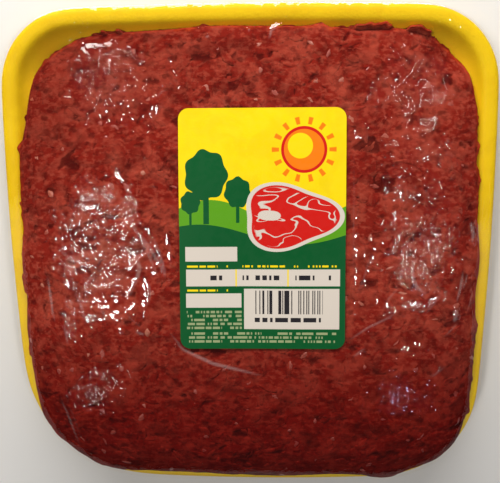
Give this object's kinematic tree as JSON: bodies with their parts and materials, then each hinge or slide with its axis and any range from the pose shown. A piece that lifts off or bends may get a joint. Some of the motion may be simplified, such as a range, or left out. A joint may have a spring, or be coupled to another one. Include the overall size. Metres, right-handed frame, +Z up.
{
  "type": "meat tray pack",
  "caption": "Nearly square foam tray heaped with minced red meat, wrapped in clear stretch film tucked under the base, with a rounded paper label on top.",
  "frame": {"origin": "on the ground under the middle of the tray", "axes": "+Z up, +Y towards the label's top edge, +X to the right of a reader of the label"},
  "size_m": [0.1814, 0.184, 0.0419],
  "materials": {
    "tray_foam": "yellow expanded polystyrene foam, satin skin",
    "meat": "moist raw minced red meat with flecks of fat",
    "clear_film": "clear stretch film, glossy, finely wrinkled",
    "label_paper": "glossy coated paper printed in yellow and green"
  },
  "bodies": {
    "root": {"tray": "tray_foam", "mince": "meat", "film": "clear_film", "label": "label_paper"}
  },
  "joints": []
}
